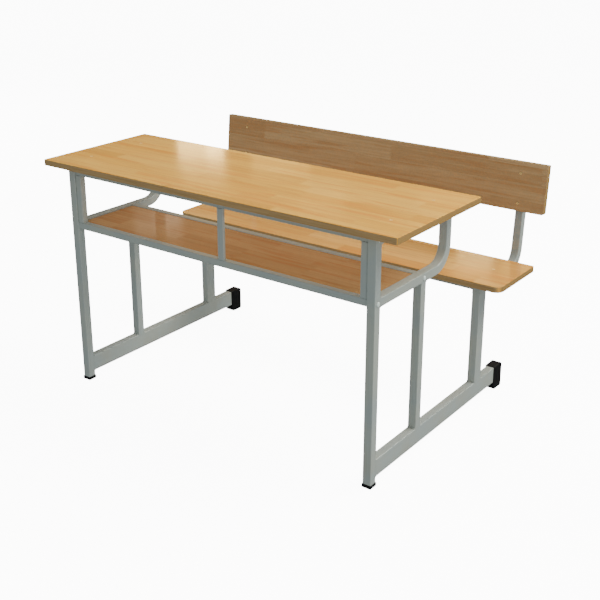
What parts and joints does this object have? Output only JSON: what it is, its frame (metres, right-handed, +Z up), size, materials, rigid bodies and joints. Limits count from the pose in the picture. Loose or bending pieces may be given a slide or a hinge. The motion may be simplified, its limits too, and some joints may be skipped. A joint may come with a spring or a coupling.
{
  "type": "school desk with bench",
  "caption": "Pupils' desk and bench in one: a wood top over a book shelf, joined by a square-tube frame to a wood seat and a leaning backrest.",
  "frame": {"origin": "on the floor, at the middle of the object's length and depth", "axes": "+X along the desk to the pupils' left as they sit, +Y from the desk's front edge back to the backrest, +Z up"},
  "size_m": [1.2, 0.8725, 0.695],
  "materials": {
    "lacquered_wood": "clear satin lacquer on finger-jointed light wood",
    "shelf_wood": "thin satin lacquer on redder wood",
    "grey_enamel": "semi-gloss grey paint",
    "black_plastic": "moulded, slightly grained",
    "zinc_steel": "bright zinc plate"
  },
  "bodies": {
    "root": {"back_post_plug_left": "black_plastic", "back_post_plug_right": "black_plastic", "back_screw_left_high": "zinc_steel", "back_screw_left_low": "zinc_steel", "back_screw_right_high": "zinc_steel", "back_screw_right_low": "zinc_steel", "backrest_board": "lacquered_wood", "base_rail_left": "grey_enamel", "base_rail_right": "grey_enamel", "desk_bracket_left": "grey_enamel", "desk_bracket_right": "grey_enamel", "desk_screw_left_front": "zinc_steel", "desk_screw_left_rear": "zinc_steel", "desk_screw_right_front": "zinc_steel", "desk_screw_right_rear": "zinc_steel", "desk_side_bar_left": "grey_enamel", "desk_side_bar_right": "grey_enamel", "desk_top": "lacquered_wood", "front_foot_left": "black_plastic", "front_foot_right": "black_plastic", "front_leg_left": "grey_enamel", "front_leg_right": "grey_enamel", "front_post_left": "grey_enamel", "front_post_middle": "grey_enamel", "front_post_right": "grey_enamel", "front_seat_bolt_left": "zinc_steel", "front_seat_bolt_right": "zinc_steel", "front_seat_rail": "grey_enamel", "front_shelf_bolt_left": "zinc_steel", "front_shelf_bolt_right": "zinc_steel", "front_shelf_rail": "grey_enamel", "front_top_bolt_left": "zinc_steel", "front_top_bolt_right": "zinc_steel", "front_top_rail": "grey_enamel", "middle_post_left": "grey_enamel", "middle_post_right": "grey_enamel", "rear_post_left": "grey_enamel", "rear_post_right": "grey_enamel", "rear_seat_bolt_left": "zinc_steel", "rear_seat_bolt_right": "zinc_steel", "rear_seat_rail": "grey_enamel", "rear_shelf_bolt_left": "zinc_steel", "rear_shelf_bolt_right": "zinc_steel", "rear_shelf_rail": "grey_enamel", "rear_shoe_left": "black_plastic", "rear_shoe_right": "black_plastic", "seat_bar_end_left": "grey_enamel", "seat_bar_end_right": "grey_enamel", "seat_board": "lacquered_wood", "seat_bracket_left": "grey_enamel", "seat_bracket_right": "grey_enamel", "seat_screw_left": "zinc_steel", "seat_screw_right": "zinc_steel", "shelf_board": "shelf_wood", "shelf_screw_left_front": "zinc_steel", "shelf_screw_left_rear": "zinc_steel", "shelf_screw_middle_front": "zinc_steel", "shelf_screw_middle_rear": "zinc_steel", "shelf_screw_right_front": "zinc_steel", "shelf_screw_right_rear": "zinc_steel"}
  },
  "joints": []
}
